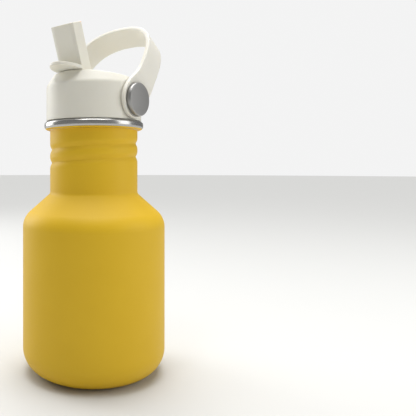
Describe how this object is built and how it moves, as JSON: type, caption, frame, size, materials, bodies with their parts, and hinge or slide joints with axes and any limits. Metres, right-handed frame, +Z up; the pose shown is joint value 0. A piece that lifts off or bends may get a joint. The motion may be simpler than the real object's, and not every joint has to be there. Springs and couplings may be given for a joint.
{
  "type": "flip-straw kids water bottle",
  "caption": "Steel kids drinking bottle with threaded neck, screw lid, flip-up straw spout and swinging carry strap.",
  "frame": {"origin": "centre of the bottle's base, on the surface it stands on", "axes": "+Z up along the bottle, -Y towards the drinker's side to which the open spout leans, X along the strap's pivot axis"},
  "size_m": [0.07, 0.07, 0.1734],
  "materials": {
    "yellow_coat": "fine satin powder coat on steel, bare at the rolled lip",
    "steel": "spun stainless steel with a bright bevelled rim",
    "cream_pp": "fine matt moulded polypropylene",
    "cream_strap": "soft matt moulded polypropylene strap",
    "silicone": "translucent white silicone",
    "straw_pp": "natural polypropylene tube"
  },
  "bodies": {
    "bottle": {"bottle_shell": "yellow_coat", "bottle_base": "yellow_coat"},
    "gasket": {"lid_gasket": "silicone"},
    "lid": {"lid_shell": "cream_pp", "threaded_plug": "cream_pp", "valve_seat": "silicone", "vent_valve": "silicone", "straw": "straw_pp", "spout_pin_left": "steel", "spout_pin_right": "steel", "pivot_stud_left": "cream_pp", "pivot_stud_right": "cream_pp", "button_left": "steel", "button_right": "steel"},
    "spout": {"spout": "cream_pp"},
    "strap": {"strap": "cream_strap"}
  },
  "joints": [
    {"name": "lid_lift", "type": "slide", "parent": "bottle", "child": "gasket", "axis": [0, 0, 1], "range_m": [0, 0.0131]},
    {"name": "lid_turn", "type": "hinge", "parent": "gasket", "child": "lid", "pos_m": [0, 0, 0.12197], "axis": [0, 0, 1], "range_deg": [0, 720]},
    {"name": "spout_flip", "type": "hinge", "parent": "lid", "child": "spout", "pos_m": [0, -0.01175, 0.14022], "axis": [1, 0, 0], "range_deg": [-112, 0]},
    {"name": "strap_swing", "type": "hinge", "parent": "lid", "child": "strap", "pos_m": [0, 0.0015, 0.13117], "axis": [1, 0, 0], "range_deg": [-50, 115]}
  ],
  "couplings": [
    {"joint": "lid_lift", "follows": "lid_turn", "m_per_rad": 0.0010345}
  ]
}
